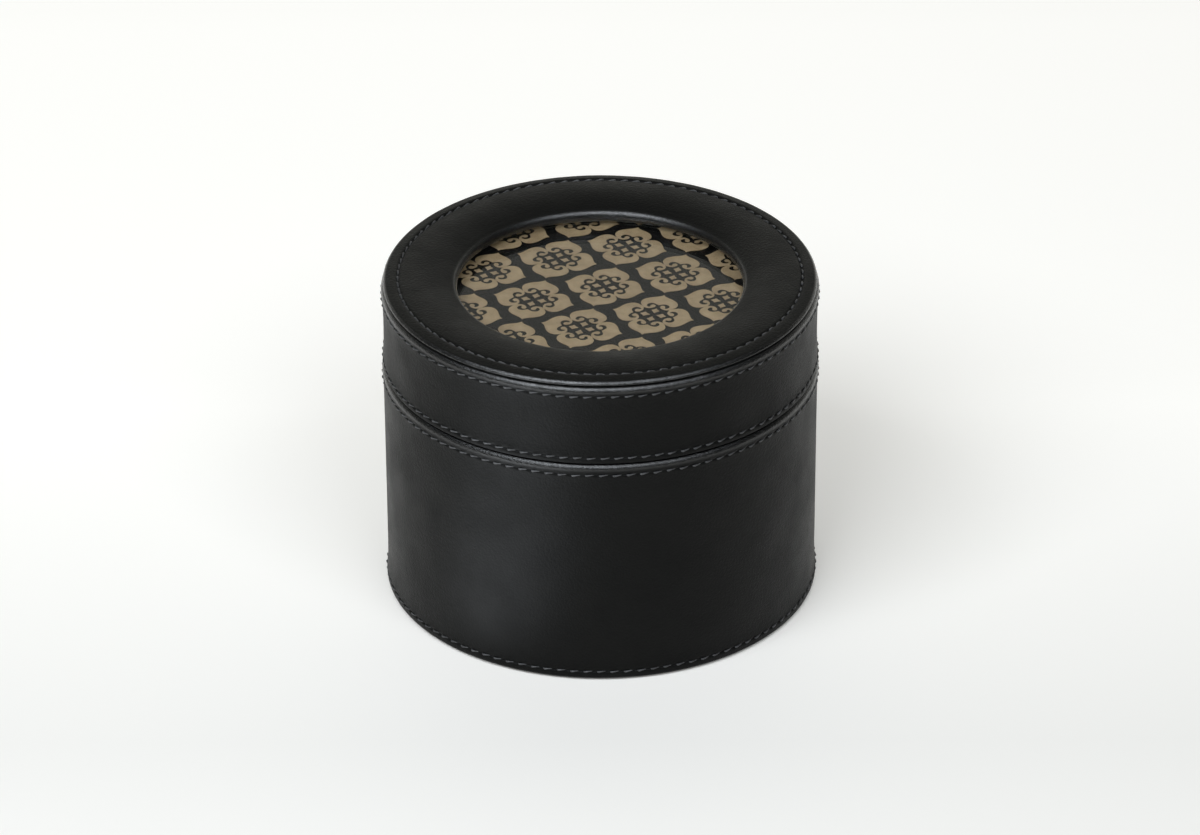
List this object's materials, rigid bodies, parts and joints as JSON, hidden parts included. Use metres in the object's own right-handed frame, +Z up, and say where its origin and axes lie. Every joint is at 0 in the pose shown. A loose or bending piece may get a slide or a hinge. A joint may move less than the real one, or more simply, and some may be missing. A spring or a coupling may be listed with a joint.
{
  "type": "round jewelry box",
  "caption": "Round black leather-covered jewelry box with a padded lid ring round a glazed ornament panel; the lid lifts off a deep base that holds a lift-out ring tray.",
  "frame": {"origin": "centre of the round underside, on the surface that the box stands on", "axes": "+Z up along the box's centre line, -Y towards the viewer of the picture, +X to the right"},
  "size_m": [0.16, 0.16, 0.126],
  "materials": {
    "black_leather": "smooth fine-grained black leather, satin",
    "greyboard": "raw rolled board",
    "suede_lining": "short-napped suede cloth on board",
    "velvet_pad": "velvet over soft padding",
    "black_felt": "pressed felt",
    "foam_pad": "open-cell foam",
    "clear_glass": "clear float glass",
    "silvered_mirror": "silvered glass",
    "ornament_panel": "matt panel, tan ornament on charcoal",
    "satin_ribbon": "satin weave"
  },
  "bodies": {
    "base": {"base_foot_panel": "black_felt", "base_floor_board": "greyboard", "base_wall_board": "greyboard", "base_side_cover": "black_leather", "neck_collar": "suede_lining", "tray_rest_ring": "suede_lining", "base_floor_pad": "velvet_pad", "base_divider_long": "suede_lining", "base_divider_cross": "suede_lining"},
    "tray": {"tray_floor": "suede_lining", "tray_wall": "suede_lining", "tray_partition_main": "suede_lining", "tray_partition_front": "suede_lining", "tray_partition_back": "suede_lining", "ring_roll_1": "velvet_pad", "ring_roll_2": "velvet_pad", "ring_roll_3": "velvet_pad", "ring_roll_4": "velvet_pad", "ring_roll_5": "velvet_pad", "ring_roll_6": "velvet_pad", "tray_lift_tab": "satin_ribbon"},
    "lid": {"lid_wall_board": "greyboard", "lid_side_cover": "black_leather", "lid_top_board": "greyboard", "lid_mirror": "silvered_mirror", "lid_ceiling_lining": "suede_lining", "lid_wall_lining": "suede_lining", "ornament_panel": "ornament_panel", "lid_glass": "clear_glass", "glass_spacer_ring": "greyboard", "ring_board": "greyboard", "ring_foam_pad": "foam_pad", "ring_cover": "black_leather"}
  },
  "joints": [
    {"name": "tray_lift", "type": "slide", "parent": "base", "child": "tray", "axis": [0, 0, 1], "range_m": [0, 0.1]},
    {"name": "lid_lift", "type": "slide", "parent": "tray", "child": "lid", "axis": [0, 0, 1], "range_m": [0, 0.15]}
  ]
}
